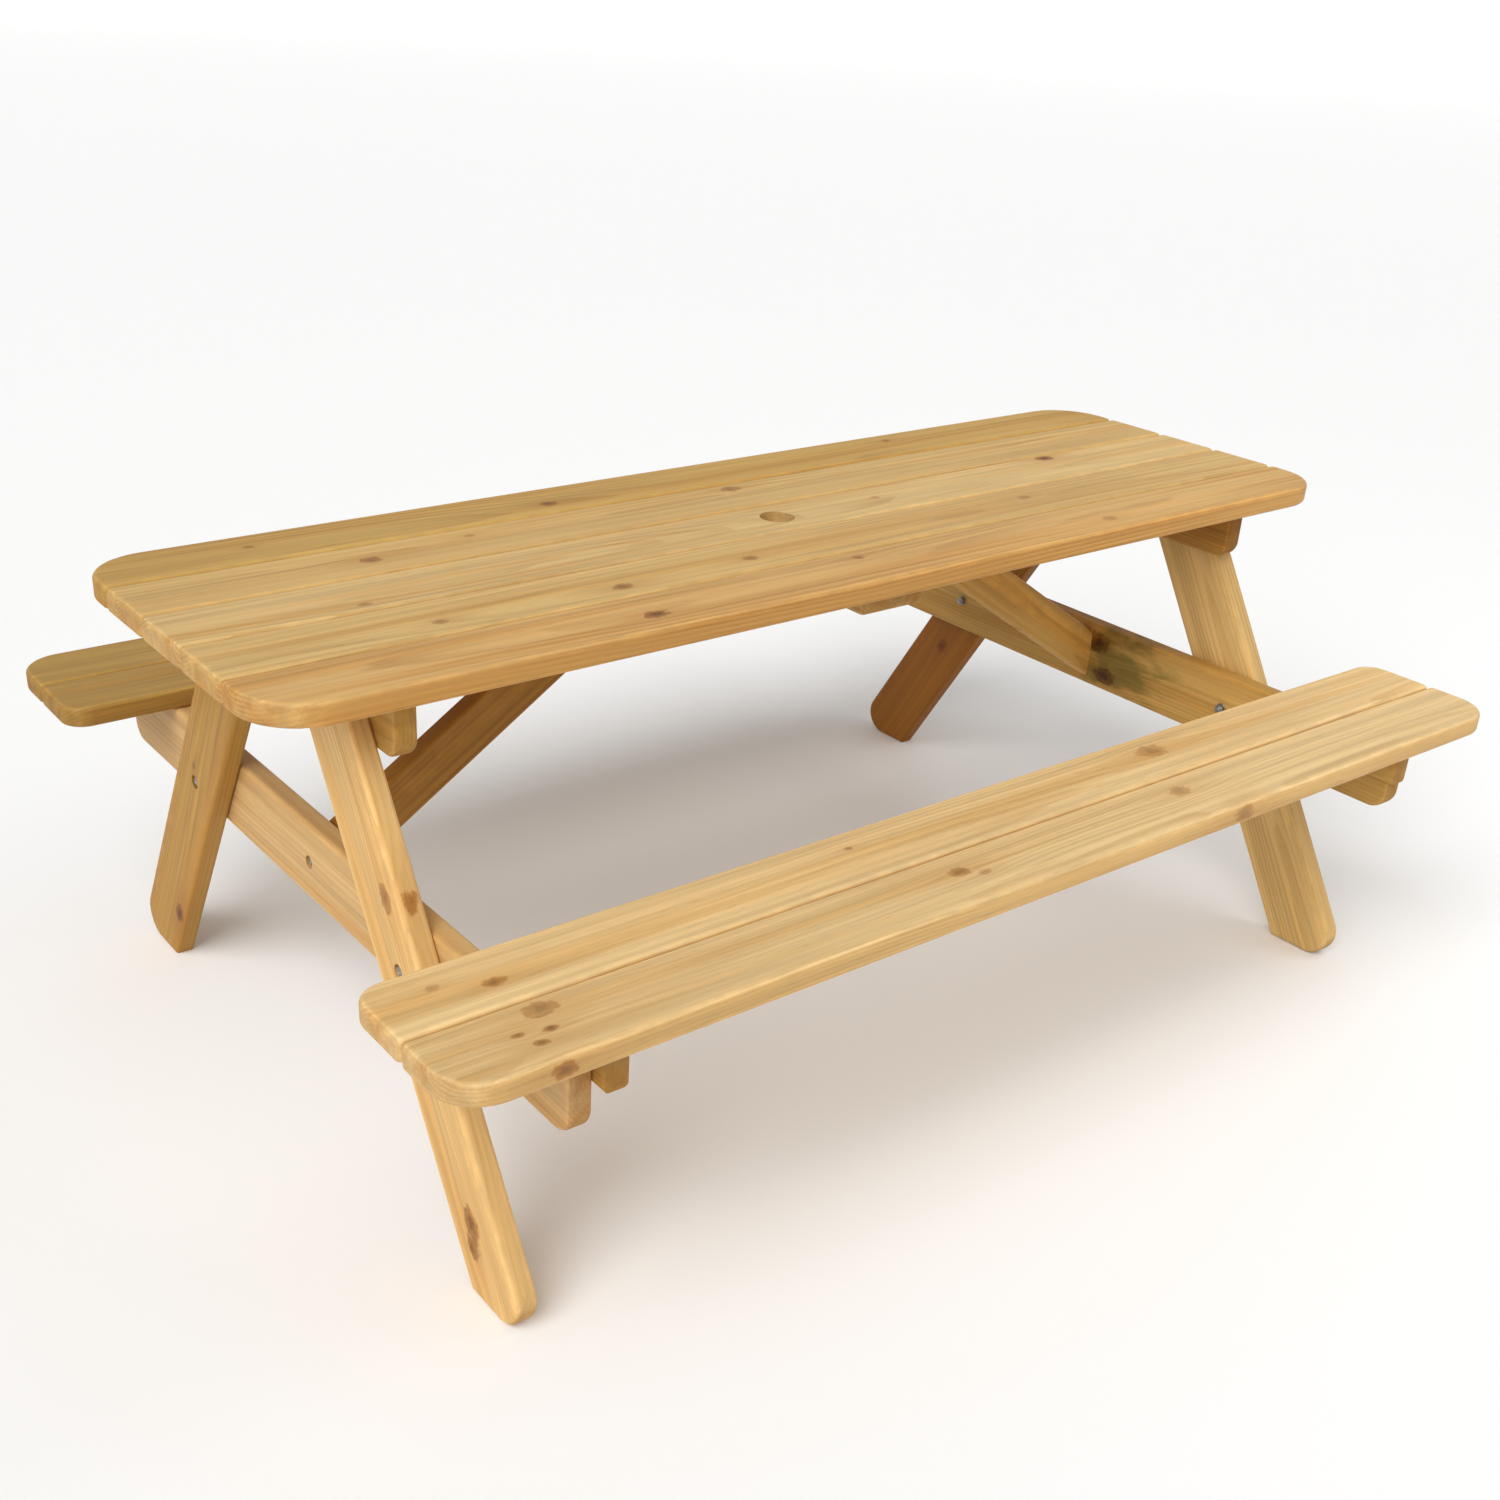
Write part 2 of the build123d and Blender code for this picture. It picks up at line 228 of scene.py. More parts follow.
def make_knot_group():
    """A knot that runs through a board. It turns the grain aside, and gives where its own wood is.

    Through has 0 for the direction in which the knot runs, and 1 for the two that cross it.
    Ratio is the distance from the knot's middle, over its radius.
    """
    graph, given, result = new_group(
        "Knot",
        [
            ("Place", VECTOR),
            ("Centre", VECTOR),
            ("Through", VECTOR),
            ("Radius", NUMBER),
            ("Darkness", NUMBER),
        ],
        [("Place", VECTOR), ("Ratio", NUMBER), ("Cover", NUMBER), ("Halo", NUMBER)],
    )
    offset = graph.vector("SUBTRACT", given["Place"], given["Centre"])
    offset = graph.vector("MULTIPLY", offset, given["Through"])
    uneven = graph.noise(given["Place"], KNOT_OUTLINE, detail=2.0)
    across = graph.vector("LENGTH", graph.vector("MULTIPLY", offset, KNOT_SHAPE))
    ratio = graph.math("DIVIDE", across, given["Radius"])
    uneven = graph.math("MULTIPLY_ADD", uneven, KNOT_UNEVENNESS, -KNOT_UNEVENNESS / 2)
    ratio = graph.math("ADD", ratio, uneven)
    along = graph.vector("LENGTH", graph.vector("MULTIPLY", offset, SWIRL_SHAPE))
    spread = graph.math("DIVIDE", along, graph.math("MULTIPLY", given["Radius"], SWIRL_RADIUS))
    halo = graph.math("EXPONENT", graph.math("MULTIPLY", graph.math("POWER", spread, 2.0), -1.0))
    pull = graph.scaled(graph.vector("MULTIPLY", offset, SWIRL_PULL), halo)
    graph.set(result["Place"], graph.vector("ADD", given["Place"], pull))
    graph.set(result["Ratio"], ratio)
    graph.set(result["Cover"], graph.math("MULTIPLY", graph.ramp(ratio, *KNOT_FADES), given["Darkness"]))
    graph.set(result["Halo"], graph.math("MULTIPLY", halo, given["Darkness"]))
    return graph.tree


def make_pine_group():
    """Planed pine, cut from growth rings round a pith that wanders along the board."""
    graph, given, result = new_group(
        "Pine",
        [
            ("Place", VECTOR),
            ("Turned place", VECTOR),
            ("Half size", VECTOR),
            ("Grain", VECTOR),
            ("Pith", VECTOR),
            ("Seed", NUMBER),
            ("Contrast", NUMBER),
            ("Tint", COLOUR),
            ("Across", VECTOR),
            ("Side shade", NUMBER),
            ("Knot ratio", NUMBER),
            ("Knot cover", NUMBER),
            ("Knot halo", NUMBER),
            ("Stain centre", VECTOR),
            ("Stain size", NUMBER),
        ],
        [("Color", COLOUR), ("Roughness", NUMBER), ("Height", NUMBER)],
    )
    shift = graph.scaled(SEED_SHIFT, given["Seed"])
    place = graph.vector("ADD", given["Place"], shift)

    # growth rings
    wander = graph.noise(place, PITH_WANDER, detail=1.0, output="Color")
    wander = graph.vector("MULTIPLY", graph.vector("SUBTRACT", wander, MIDDLE_GREY), WANDER_SIZE)
    ripple = graph.noise(place, RING_RIPPLE, detail=2.0, output="Color")
    ripple = graph.vector("MULTIPLY", graph.vector("SUBTRACT", ripple, MIDDLE_GREY), RIPPLE_SIZE)
    ringed = graph.vector("ADD", graph.vector("ADD", given["Turned place"], wander), ripple)
    ringed = graph.vector("MULTIPLY", graph.vector("SUBTRACT", ringed, given["Pith"]), ACROSS_GRAIN)
    radius = graph.vector("LENGTH", ringed)
    years = graph.math("DIVIDE", radius, RING_SPACING)
    years = graph.math("ADD", years, graph.noise(ringed, RING_WIDTHS, detail=1.0))
    season = graph.math("FRACT", years)
    late = graph.math("MULTIPLY", graph.ramp(season, *LATEWOOD_GROWS), graph.ramp(season, *LATEWOOD_STOPS))
    patchy = graph.noise(place, PATCHES, detail=2.0)
    late = graph.math("MULTIPLY", late, graph.ramp(patchy, *LATEWOOD_PATCHES))
    late = graph.math("MULTIPLY", late, given["Contrast"])

    # fibres, streaks and slow changes of tone along the board
    fibre = graph.noise(place, FIBRES, detail=3.0, roughness=0.6)
    streak = graph.noise(place, STREAKS, detail=3.0, roughness=0.6)
    band = graph.noise(place, BANDS, detail=2.0)
    cloud = graph.noise(place, CLOUDS, detail=2.0)
    duct = graph.noise(place, RESIN_DUCTS, detail=0.0)

    wood = graph.mix(late, EARLYWOOD, LATEWOOD)
    wood = graph.mix(graph.ramp(cloud, *RESIN_AMOUNT), wood, RESIN)
    heart = graph.mix(1.0, wood, HEARTWOOD, "MULTIPLY")
    wood = graph.mix(graph.ramp(band, *HEARTWOOD_AMOUNT), wood, heart)
    wood = graph.scaled(wood, graph.ramp(streak, *STREAK_TONE))
    wood = graph.scaled(wood, graph.ramp(fibre, *FIBRE_TONE))
    wood = graph.scaled(wood, graph.ramp(duct, *DUCT_TONE))

    # knots
    wood = graph.mix(graph.math("MULTIPLY", given["Knot halo"], RESIN_ROUND_KNOTS), wood, RESIN)
    knot = graph.mix(graph.ramp(given["Knot ratio"], *KNOT_DARK_TO_LIGHT), KNOT_MIDDLE, KNOT_EDGE)
    near_rim = graph.ramp(given["Knot ratio"], *KNOT_RIM)
    bark = graph.math("MULTIPLY", near_rim, graph.ramp(patchy, *BARK_PATCHES))
    knot = graph.mix(graph.math("MULTIPLY", bark, BARK_AMOUNT), knot, KNOT_BARK)
    is_knot = given["Knot cover"]
    wood = graph.mix(is_knot, wood, knot)

    # end grain, painted shade on the long sides of boards, arrises lightened as wear and as a painted
    # highlight, and pooled preservative
    normal = graph.node("ShaderNodeTexCoord").outputs["Normal"]
    facing_end = graph.math("ABSOLUTE", graph.vector("DOT_PRODUCT", normal, given["Grain"]))
    is_end = graph.ramp(facing_end, *FACING_AN_END)
    wood = graph.mix(is_end, wood, graph.mix(1.0, wood, END_GRAIN, "MULTIPLY"))
    facing_side = graph.math("ABSOLUTE", graph.vector("DOT_PRODUCT", normal, given["Across"]))
    side_shade_mask = graph.math("MULTIPLY", graph.ramp(facing_side, *FACING_A_SIDE), given["Side shade"])
    # painted shade: the long side faces of tabletop and seat boards are darkened
    wood = graph.mix(side_shade_mask, wood, graph.mix(1.0, wood, SIDE_PAINTED_SHADE, "MULTIPLY"))
    inside = graph.vector("SUBTRACT", given["Half size"], graph.vector("ABSOLUTE", given["Place"]))
    x, y, z = graph.split(inside)
    nearer = graph.math("MINIMUM", x, y)
    further = graph.math("MAXIMUM", x, y)
    from_arris = graph.math("MAXIMUM", nearer, graph.math("MINIMUM", further, z))
    rubbed = graph.noise(place, RUBBED_PLACES, detail=3.0)
    near_arris = graph.ramp(from_arris, WEAR_BEGINS, WEAR_FULL)
    wear_and_highlight = graph.math("MULTIPLY", near_arris, graph.ramp(rubbed, *RUBBED_RANGE))
    # wear and painted highlight: lighter along the arrises, in rubbed patches
    wood = graph.mix(wear_and_highlight, wood, graph.mix(1.0, wood, WORN_ARRIS_AND_HIGHLIGHT, "MULTIPLY"))
    from_stain = graph.vector("SUBTRACT", given["Place"], given["Stain centre"])
    from_stain = graph.vector("LENGTH", graph.vector("MULTIPLY", from_stain, STAIN_SHAPE))
    blot = graph.math("MULTIPLY", graph.noise(place, STAIN_OUTLINE, detail=3.0), given["Stain size"])
    stained = graph.math("SUBTRACT", given["Stain size"], graph.math("ADD", from_stain, blot))
    stained = graph.math("DIVIDE", stained, graph.math("MAXIMUM", given["Stain size"], SMALLEST_STAIN))
    stained = graph.ramp(stained, *STAIN_EDGE)
    wood = graph.mix(stained, wood, graph.mix(1.0, wood, TREATMENT, "MULTIPLY"))
    # the timber's tone, which also carries painted light and shade
    wood = graph.mix(1.0, wood, given["Tint"], "MULTIPLY")

    rough = graph.ramp(fibre, *FIBRE_ROUGHNESS)
    rough = graph.math("MULTIPLY_ADD", is_end, END_ROUGHER, rough)
    rough = graph.math("MULTIPLY_ADD", is_knot, KNOT_ROUGHER, rough)
    rough = graph.math("MULTIPLY_ADD", wear_and_highlight, WORN_ROUGHER, rough)
    height = graph.math("MULTIPLY_ADD", late, LATEWOOD_HEIGHT, fibre)
    height = graph.math("MULTIPLY_ADD", is_knot, KNOT_HEIGHT, height)
    graph.set(result["Color"], wood)
    graph.set(result["Roughness"], rough)
    graph.set(result["Height"], height)
    return graph.tree


knot_group = make_knot_group()
pine_group = make_pine_group()


def timber_axes(along, through):
    """A rotation whose X runs along the grain and whose Z runs through the board's thickness."""
    across = through.cross(along)
    return Matrix((along, across, through)).transposed()


def make_pine(name, centre, axes, half_size, look, knots, stain):
    """A material for one timber.

    Each knot is (centre, through, radius, darkness), with its centre from the timber's middle.
    """
    material = bpy.data.materials.new(f"{name}_pine")
    material.use_nodes = True
    graph = Graph(material.node_tree)
    shader = material.node_tree.nodes["Principled BSDF"]

    row_place = graph.node("ShaderNodeTexCoord").outputs["Object"]
    mapping = graph.node("ShaderNodeMapping", {"Vector": row_place}, vector_type="TEXTURE")
    mapping.inputs["Location"].default_value = centre
    mapping.inputs["Rotation"].default_value = axes.to_euler()
    place = mapping.outputs["Vector"]

    turned = place
    ratio = NO_KNOT_RATIO
    cover = 0.0
    halo = 0.0
    for knot_centre, through, radius, darkness in knots:
        knot = graph.node("ShaderNodeGroup", node_tree=knot_group)
        graph.set(knot.inputs["Place"], turned)
        graph.set(knot.inputs["Centre"], knot_centre)
        graph.set(knot.inputs["Through"], through)
        graph.set(knot.inputs["Radius"], radius)
        graph.set(knot.inputs["Darkness"], darkness)
        turned = knot.outputs["Place"]
        ratio = graph.math("MINIMUM", ratio, knot.outputs["Ratio"])
        cover = graph.math("MAXIMUM", cover, knot.outputs["Cover"])
        halo = graph.math("MAXIMUM", halo, knot.outputs["Halo"])

    pine = graph.node("ShaderNodeGroup", node_tree=pine_group)
    values = {
        "Place": place,
        "Turned place": turned,
        "Half size": half_size,
        "Grain": axes.col[0],
        "Pith": (0.0, look["pith"][0], look["pith"][1]),
        "Seed": look["seed"],
        "Contrast": look["contrast"],
        "Tint": look["tone_with_painted_light"],
        "Across": axes.col[1],
        "Side shade": look["side_shade"],
        "Knot ratio": ratio,
        "Knot cover": cover,
        "Knot halo": halo,
        "Stain centre": stain[0],
        "Stain size": stain[1],
    }
    for socket, value in values.items():
        graph.set(pine.inputs[socket], value)
    graph.set(shader.inputs["Base Color"], pine.outputs["Color"])
    graph.set(shader.inputs["Roughness"], pine.outputs["Roughness"])
    bump = graph.node("ShaderNodeBump", {"Height": pine.outputs["Height"]})
    bump.inputs["Strength"].default_value = GRAIN_STRENGTH
    bump.inputs["Distance"].default_value = GRAIN_RELIEF
    graph.set(shader.inputs["Normal"], bump.outputs["Normal"])
    shader.inputs["Specular IOR Level"].default_value = PINE_GLOSS
    return material


# ---------------------------------------------------------------- timbers

X_AXIS = Vector((1, 0, 0))
Y_AXIS = Vector((0, 1, 0))
Z_AXIS = Vector((0, 0, 1))

# The knots, from the middle of each timber: along it, across it, how large, and how dark.
KNOTS = {
    "tabletop_board_5": [
        (-0.249, -0.017, 0.009, 0.8),
        (0.430, 0.020, 0.006, 0.6),
        (-0.690, 0.004, 0.005, 0.5),
    ],
    "tabletop_board_4": [
        (-0.579, -0.006, 0.010, 0.7),
        (0.027, 0.031, 0.011, 0.6),
        (-0.420, 0.022, 0.005, 0.4),
    ],
    "tabletop_board_3": [
        (0.588, 0.040, 0.011, 1.0),
        (-0.660, -0.036, 0.006, 0.5),
        (0.190, 0.006, 0.005, 0.4),
    ],
    "tabletop_board_2": [
        (-0.612, -0.019, 0.007, 0.5),
        (-0.358, -0.023, 0.010, 0.7),
        (-0.149, -0.013, 0.008, 0.6),
        (0.392, 0.010, 0.008, 0.4),
    ],
    "tabletop_board_1": [
        (-0.379, -0.012, 0.011, 0.9),
        (0.427, -0.015, 0.009, 0.4),
        (-0.020, 0.030, 0.006, 0.6),
    ],
    "front_seat_inner_board": [
        (0.313, 0.011, 0.016, 0.55),
        (-0.755, -0.012, 0.009, 0.7),
        (-0.815, 0.012, 0.006, 0.4),
        (-0.240, 0.016, 0.004, 0.5),
    ],
    "front_seat_outer_board": [
        (-0.742, 0.032, 0.013, 0.6),
        (-0.752, -0.002, 0.006, 0.8),
        (-0.786, 0.004, 0.005, 0.7),
        (-0.772, -0.020, 0.006, 0.7),
        (-0.167, 0.012, 0.010, 0.65),
        (-0.140, 0.000, 0.007, 0.40),
        (0.245, 0.018, 0.012, 0.50),
    ],
    "rear_seat_inner_board": [(-0.410, 0.018, 0.012, 0.8), (0.520, -0.022, 0.009, 0.6)],
    "rear_seat_outer_board": [(-0.150, -0.020, 0.010, 0.7), (0.680, 0.014, 0.013, 0.8)],
    "front_left_leg": [
        (0.283, -0.012, 0.014, 0.9),
        (0.312, -0.002, 0.010, 0.9),
        (-0.102, -0.036, 0.012, 0.7),
    ],
    "rear_left_leg": [(0.270, -0.026, 0.012, 1.0), (-0.040, 0.024, 0.005, 0.5)],
    "front_right_leg": [(-0.080, 0.022, 0.006, 0.4)],
    "rear_right_leg": [(0.120, 0.010, 0.010, 0.6)],
    "right_seat_bearer": [(-0.030, 0.026, 0.016, 1.0), (-0.052, -0.028, 0.014, 1.0)],
    "left_seat_bearer": [(-0.330, 0.014, 0.007, 0.5)],
    "left_brace": [(0.060, 0.008, 0.006, 0.5)],
    "right_brace": [(-0.110, -0.006, 0.007, 0.5)],
    "centre_batten": [(0.160, -0.014, 0.010, 0.6)],
}
# The same for knots that show in a long edge: along the timber, on which edge, how large, how dark.
EDGE_KNOTS = {
    "front_seat_outer_board": [(-0.767, -1, 0.010, 0.7), (0.292, -1, 0.012, 0.5)],
    "front_left_leg": [(-0.090, -1, 0.012, 0.9)],
    "front_seat_inner_board": [(-0.600, -1, 0.008, 0.5)],
    "rear_seat_outer_board": [(0.310, 1, 0.010, 0.6)],
}
THROUGH_FACE = (1.0, 1.0, 0.0)          # the directions that cross the knot
THROUGH_EDGE = (1.0, 0.8, 1.0)
# Pooled preservative: its middle, and how far it spreads.
STAINS = {"right_seat_bearer": ((-0.085, 0.0, 0.0), 0.15)}
NO_STAIN = ((0.0, 0.0, 0.0), 0.0)

# The tone of each timber multiplies the colour of its wood. Besides the timber's own tone, it holds
# painted light and shade: some timbers are made paler as if lit more strongly, others darker as painted
# shade.
# PALE_PAINTED_LIGHT paints light and BROWN_PAINTED_SHADOW paints shadow; the others are tones of the wood
PALE_PAINTED_LIGHT = (1.24, 1.30, 1.40)
HONEY = (1.03, 1.00, 0.85)
GOLDEN = (0.80, 0.70, 0.42)
BROWN_PAINTED_SHADOW = (0.52, 0.30, 0.06)
PINKISH = (0.98, 0.92, 0.86)
TONES_WITH_PAINTED_LIGHT_AND_SHADE = {
    "tabletop_board_1": (1.08, 0.98, 0.80),
    "tabletop_board_2": HONEY,
    "tabletop_board_3": (1.12, 1.13, 1.06),
    "tabletop_board_4": HONEY,
    "tabletop_board_5": (0.90, 0.82, 0.52),
    # painted light: the front seat boards are paler, as if lit more strongly
    "front_seat_inner_board": PALE_PAINTED_LIGHT,
    "front_seat_outer_board": PALE_PAINTED_LIGHT,
    # painted light: paler, as if lit more strongly
    "front_left_leg": (1.22, 1.18, 1.06),
    "front_right_leg": HONEY,
    # painted shadow: dark, as if in the tabletop's shadow
    "rear_right_leg": BROWN_PAINTED_SHADOW,
    "left_seat_bearer": PINKISH,
    "right_seat_bearer": (0.80, 0.70, 0.42),
    # painted shade: darker, as if in shade under the tabletop
    "left_brace": (0.58, 0.40, 0.12),
    "right_brace": (0.98, 0.86, 0.52),
    "left_top_bearer": (0.98, 0.90, 0.56),
    # painted shade: darker, as if in shade under the tabletop
    "right_top_bearer": (0.62, 0.46, 0.18),
    # painted shade: the rear left leg and the rear seat boards are darker, as if further from the light
    "rear_left_leg": (0.71, 0.57, 0.25),
    "rear_seat_inner_board": (0.69, 0.61, 0.34),
    "rear_seat_outer_board": (0.69, 0.61, 0.34),
    "centre_batten": HONEY,
}
SLOPING_WIDTHS = {"leg": 0.110, "brace": 0.068}     # which their boxes don't give
LEAN = 0.1                              # tips a search direction, so that one corner is farthest
SEED = 1800
LIGHTNESS = (0.97, 1.03)                # the range between timbers of one tone
CONTRAST = (0.40, 0.75)                 # how clearly the rings show
SEEDS = (1.0, 9.0)
PITH_ACROSS = (-0.05, 0.05)
PITH_DEPTH = (0.035, 0.10)              # the pith lies outside the timber


def farthest(points, direction):
    """The point that is farthest in a direction."""
    return max(points, key=lambda point: point.dot(direction))


def corner_line(node, first, second):
    """The direction between two corners of a node, each the farthest one in its direction."""
    points = [vertex.co for vertex in nodes[node].data.vertices]
    return farthest(points, first) - farthest(points, second)


def leg_grain(node):
    """Along the back edge of a raked leg, from the tabletop to the ground."""
    low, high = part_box(node)
    outward = Y_AXIS if low[1] + high[1] > 0 else -Y_AXIS
    line = corner_line(node, -Z_AXIS - outward * LEAN, Z_AXIS - outward * LEAN)
    line.x = 0
    return line.normalized()


def brace_grain(node):
    """Along the lower edge of a brace, from the seat bearer to the tabletop."""
    low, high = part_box(node)
    outward = X_AXIS if low[0] + high[0] > 0 else -X_AXIS
    line = corner_line(node, Z_AXIS * LEAN - outward, outward - Z_AXIS * LEAN)
    line.y = 0
    return line.normalized()


def timber_shape(node):
    """Which way a timber lies: its grain, the direction of its thickness, and its kind."""
    if node.startswith("tabletop"):
        return X_AXIS, Z_AXIS, "tabletop"
    if node.endswith("_board"):
        return X_AXIS, Z_AXIS, "seat"
    if node.endswith("_leg"):
        return leg_grain(node), X_AXIS, "leg"
    if node.endswith("_brace"):
        return brace_grain(node), Y_AXIS, "brace"
    if node == "centre_batten":
        return Y_AXIS, Z_AXIS, "batten"
    if node.endswith("_seat_batten"):
        return Y_AXIS, X_AXIS, "batten"
    return Y_AXIS, X_AXIS, "bearer"


def paint_timber(node, chance):
    """Gives a timber a pine of its own, with its own rings, knots and tone, and with the painted light and
    shade that its tone carries.
    """
    grain, through, kind = timber_shape(node)
    low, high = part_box(node)
    centre = (Vector(low) + Vector(high)) / 2
    axes = timber_axes(grain, through)
    size = Vector(high) - Vector(low)
    sizes = [abs(axes.col[i].dot(size)) / 2 for i in range(3)]
    if kind in SLOPING_WIDTHS:
        sizes = [size.length / 2, SLOPING_WIDTHS[kind] / 2, sizes[2]]
    lightness = chance.uniform(*LIGHTNESS)
    look = {
        "seed": chance.uniform(*SEEDS),
        "contrast": chance.uniform(*CONTRAST),
        "pith": (chance.uniform(*PITH_ACROSS), chance.choice((-1, 1)) * chance.uniform(*PITH_DEPTH)),
        # the tone, with painted light and shade for some timbers
        "tone_with_painted_light": Vector(TONES_WITH_PAINTED_LIGHT_AND_SHADE.get(node, GOLDEN)) * lightness,
        # painted shade on the long side faces, for tabletop and seat boards only
        "side_shade": 1.0 if kind in ("tabletop", "seat") else 0.0,
    }
    knots = []
    for along, across, radius, darkness in KNOTS.get(node, []):
        knots.append(((along, across, 0.0), THROUGH_FACE, radius, darkness))
    for along, side, radius, darkness in EDGE_KNOTS.get(node, []):
        knots.append(((along, side * sizes[1], 0.0), THROUGH_EDGE, radius, darkness))
    stain = STAINS.get(node, NO_STAIN)
    material = make_pine(node, centre, axes, sizes, look, knots, stain)
    for slot in nodes[node].material_slots:
        slot.material = material


HEXAGON_FIXINGS = ["leg_bolts", "leg_bolt_washers", "leg_bolt_nuts", "brace_screws"]
WOOD_SCREWS = [
    "top_bearer_screws",
    "centre_batten_screws",
    "brace_head_screws",
    "seat_screws",
    "seat_batten_screws",
]
chance = random.Random(SEED)
for node in sorted(nodes):
    if node not in HEXAGON_FIXINGS + WOOD_SCREWS:
        paint_timber(node, chance)


# ---------------------------------------------------------------- fixings


SAME_PLACE = 0.00001                    # corners this close are one
END_ZONE = 0.001                        # corners this near to a fixing's end belong to it
BOLT_PLATING = (0.33, 0.32, 0.30)
SCREW_PLATING = (0.48, 0.43, 0.32)
PLATING_BLOTCHES = (140.0, 140.0, 140.0)
PLATING_SCUFFS = (900.0, 900.0, 2400.0)
PLATING_TONE = (0.3, 0.7, 0.82, 1.08)
PLATING_ROUGHNESS = (0.3, 0.7, 0.30, 0.52)
PLATING_RELIEF = 0.0002
PLATING_STRENGTH = 0.25


def make_zinc(name, colour, seed):
    """Zinc plating: bright, slightly blotched and scuffed."""
    material = bpy.data.materials.new(name)
    material.use_nodes = True
    graph = Graph(material.node_tree)
    shader = material.node_tree.nodes["Principled BSDF"]
    place = graph.vector("ADD", graph.node("ShaderNodeTexCoord").outputs["Object"], (seed, seed, seed))
    blotch = graph.noise(place, PLATING_BLOTCHES, detail=3.0)
    scuff = graph.noise(place, PLATING_SCUFFS, detail=2.0)
    plating = graph.scaled(colour, graph.ramp(blotch, *PLATING_TONE))
    graph.set(shader.inputs["Base Color"], plating)
    graph.set(shader.inputs["Roughness"], graph.ramp(scuff, *PLATING_ROUGHNESS))
    shader.inputs["Metallic"].default_value = 1.0
    bump = graph.node("ShaderNodeBump", {"Height": scuff})
    bump.inputs["Strength"].default_value = PLATING_STRENGTH
    bump.inputs["Distance"].default_value = PLATING_RELIEF
    graph.set(shader.inputs["Normal"], bump.outputs["Normal"])
    return material


bolt_zinc = make_zinc("bolt_zinc", BOLT_PLATING, 0.3)
screw_zinc = make_zinc("screw_zinc", SCREW_PLATING, 0.7)


def solids(node):
    """The corners of each separate solid of a CAD node."""
    shape = bmesh.new()
    shape.from_mesh(nodes[node].data)
    bmesh.ops.remove_doubles(shape, verts=shape.verts, dist=SAME_PLACE)
    found = []
    seen = set()
    for start in shape.verts:
        if start in seen:
            continue
        seen.add(start)
        waiting = [start]
        points = []
        while waiting:
            vertex = waiting.pop()
            points.append(vertex.co.copy())
            for edge in vertex.link_edges:
                other = edge.other_vert(vertex)
                if other not in seen:
                    seen.add(other)
                    waiting.append(other)
        found.append(points)
    shape.free()
    return found


def axis_of(points, pick):
    """The middle of a round solid, its longest axis (pick is max) or shortest (min), and its size there.

    The axis is one of the frame's own three.
    """
    low = Vector([min(point[i] for point in points) for i in range(3)])
    high = Vector([max(point[i] for point in points) for i in range(3)])
    size = high - low
    index = list(size).index(pick(size))
    axis = Vector([float(i == index) for i in range(3)])
    return (low + high) / 2, axis, size[index]


def placed(origin, direction):
    """A place with its Z along a direction."""
    return Matrix.Translation(origin) @ direction.to_track_quat("Z", "Y").to_matrix().to_4x4()


def fixing_place(points):
    """The place of a headed fixing, at the top of its head and with Z out of it. Also its length."""
    middle, axis, length = axis_of(points, max)

    def width_at(end):
        tip = middle + axis * end * length / 2
        near = [point for point in points if abs((point - tip).dot(axis)) < END_ZONE]
        return max((point - tip).cross(axis).length for point in near)

    head_end = max((-1, 1), key=width_at)
    return placed(middle + axis * head_end * length / 2, axis * head_end), length


def ring_place(points):
    """The place of a nut or washer, with its origin at its middle. Also its thickness."""
    middle, axis, thickness = axis_of(points, min)
    return placed(middle, axis), thickness


TURNS = 48                              # corners in each ring of a round shape
THREAD_STEPS = 6                        # rings in each turn of a thread
HEXAGON_CHAMFER = math.radians(30)
HEXAGON_FACE = 0.97                     # the flat end of a hexagon, over its size across the flats
SHARP_EDGE = math.radians(32)

# Machined fixings: the radius of the shank, the size across the flats, the height of the head, the
# length of the thread and its pitch.
BOLT = {"radius": 0.004, "flats": 0.013, "head": 0.0055, "threaded": 0.022, "pitch": 0.00125}
COACH_SCREW = {"radius": 0.003, "flats": 0.010, "head": 0.0045, "threaded": 0.030, "pitch": 0.0025}
POINT_LENGTH = 0.0006                   # the chamfer at the tip
POINT_TIP = 0.72                        # its radii, over the shank's
POINT_SHOULDER = 0.80
THREAD_DEPTH = 0.5                      # over its pitch
RUN_IN = 0.0002                         # plain shank before the first thread
RUN_OUT = 0.0008                        # where the thread fades into the shank
DISH_DEPTH = 0.0005                     # the hollow in the top of the head
DISH_RIM = 0.36                         # its radii, over the size across the flats
DISH_FLOOR = 0.33
NUT_FACE = 0.0063
NUT_CHAMFER = 0.0006
WASHER_BORE = 0.00425
WASHER_RADIUS = 0.0085
WASHER_EDGE = 0.0003

# Wood screws, with a pan head and a six-lobed recess.
SCREW_RADIUS = 0.0025                   # over the thread
SCREW_CORE = 0.0017
SCREW_SHANK = 0.0019
SCREW_TIP = 0.0002
SCREW_TIP_LENGTH = 0.005
SCREW_THREADED = 0.026
SCREW_PITCH = 0.0028
SCREW_RUN_OUT = 0.001
SCREW_THREAD_DEPTH = 0.0008
SCREW_HEAD_RADIUS = 0.005
SCREW_HEAD_HEIGHT = 0.003
# The round of the head: its radius, over the head's own, and how far down it is, over the head's height.
SCREW_HEAD_ROUND = [(1.0, 1.0), (1.0, 0.75), (0.92, 0.35), (0.76, 0.1), (0.6, 0.0)]
RECESS_RADIUS = 0.0024
RECESS_FLOOR_RADIUS = 0.0022
RECESS_DEPTH = 0.0018
LOBE = 0.10                             # the height of a recess's lobes, over its radius


